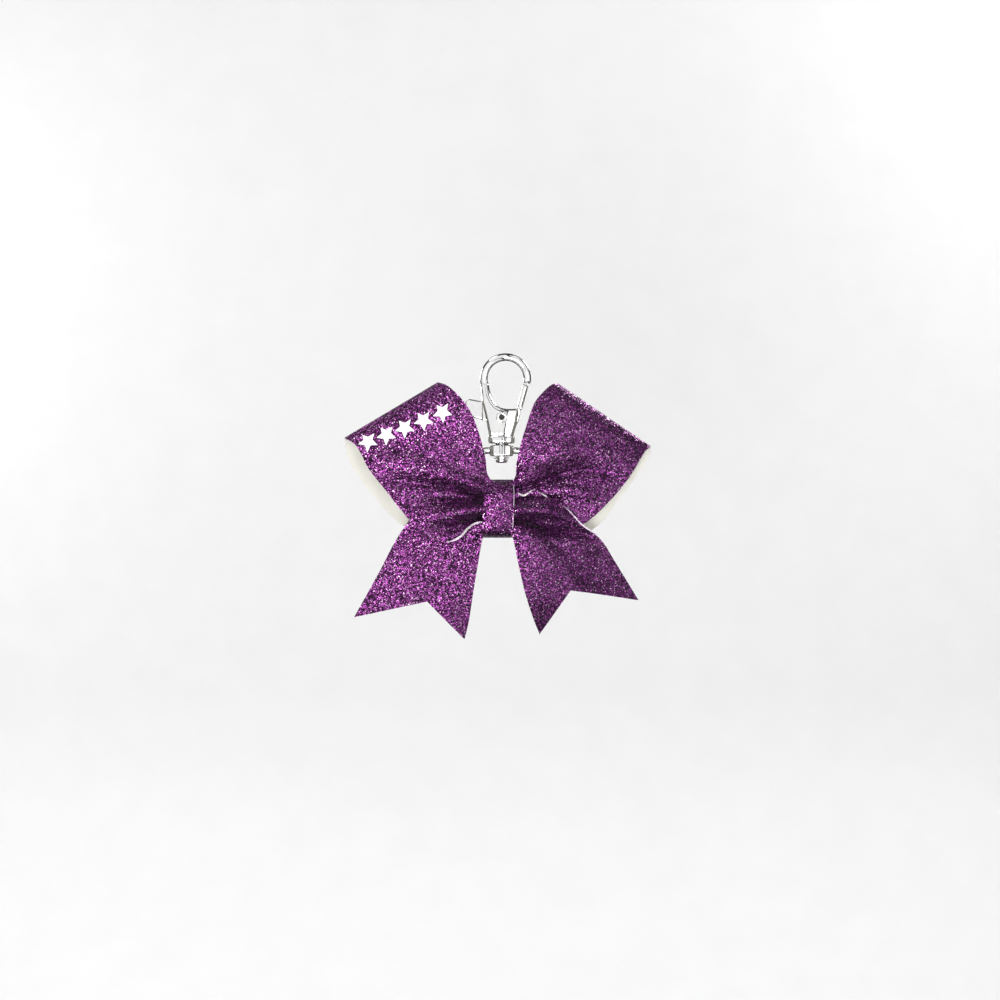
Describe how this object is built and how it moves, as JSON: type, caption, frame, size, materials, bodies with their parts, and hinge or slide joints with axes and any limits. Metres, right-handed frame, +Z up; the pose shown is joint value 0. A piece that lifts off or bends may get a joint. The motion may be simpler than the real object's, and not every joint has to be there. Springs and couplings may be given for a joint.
{
  "type": "cheer bow bag charm",
  "caption": "Small glitter ribbon cheer bow with swallowtail ends, hung from a chrome swivel trigger clasp with a sprung gate.",
  "frame": {"origin": "on the swivel axis, level with the inside top of the hook, where the charm hangs", "axes": "+Z up along the swivel axis, the bow's front faces -Y, +X to the viewer's right"},
  "size_m": [0.1044, 0.0177, 0.0972],
  "materials": {
    "chrome": "polished chrome plate on die-cast zinc",
    "spring_steel": "bright drawn spring wire",
    "glitter_ribbon": "purple glitter face on a woven ribbon, cream backing",
    "tie_thread": "waxed thread",
    "glue": "hot-melt glue, slightly glossy",
    "white_vinyl": "smooth heat-transfer vinyl"
  },
  "bodies": {
    "hook": {"hook_body": "chrome", "gate_rivet": "chrome", "gate_spring": "spring_steel", "swivel_pin": "chrome", "swivel_washer": "chrome"},
    "gate": {"gate_lever": "chrome"},
    "ring": {"strap_ring": "chrome"},
    "bow": {"left_loop": "glitter_ribbon", "right_loop": "glitter_ribbon", "left_tail": "glitter_ribbon", "right_tail": "glitter_ribbon", "gathered_waist": "glitter_ribbon", "cinch_tie": "tie_thread", "knot_strip": "glitter_ribbon", "glue_patch": "glue", "vinyl_star_1": "white_vinyl", "vinyl_star_2": "white_vinyl", "vinyl_star_3": "white_vinyl", "vinyl_star_4": "white_vinyl", "vinyl_star_5": "white_vinyl"}
  },
  "joints": [
    {"name": "gate_hinge", "type": "hinge", "parent": "hook", "child": "gate", "pos_m": [0.0001, 0, -0.0193], "axis": [0, -1, 0], "range_deg": [0, 28], "stiffness_Nm_per_rad": 0.02, "springref_deg": -20.05},
    {"name": "swivel", "type": "hinge", "parent": "hook", "child": "ring", "pos_m": [0, 0, -0.0305], "axis": [0, 0, 1], "continuous": true},
    {"name": "ring_swing", "type": "hinge", "parent": "ring", "child": "bow", "pos_m": [0, 0, -0.0424], "axis": [1, 0, 0], "range_deg": [-10, 10]}
  ]
}
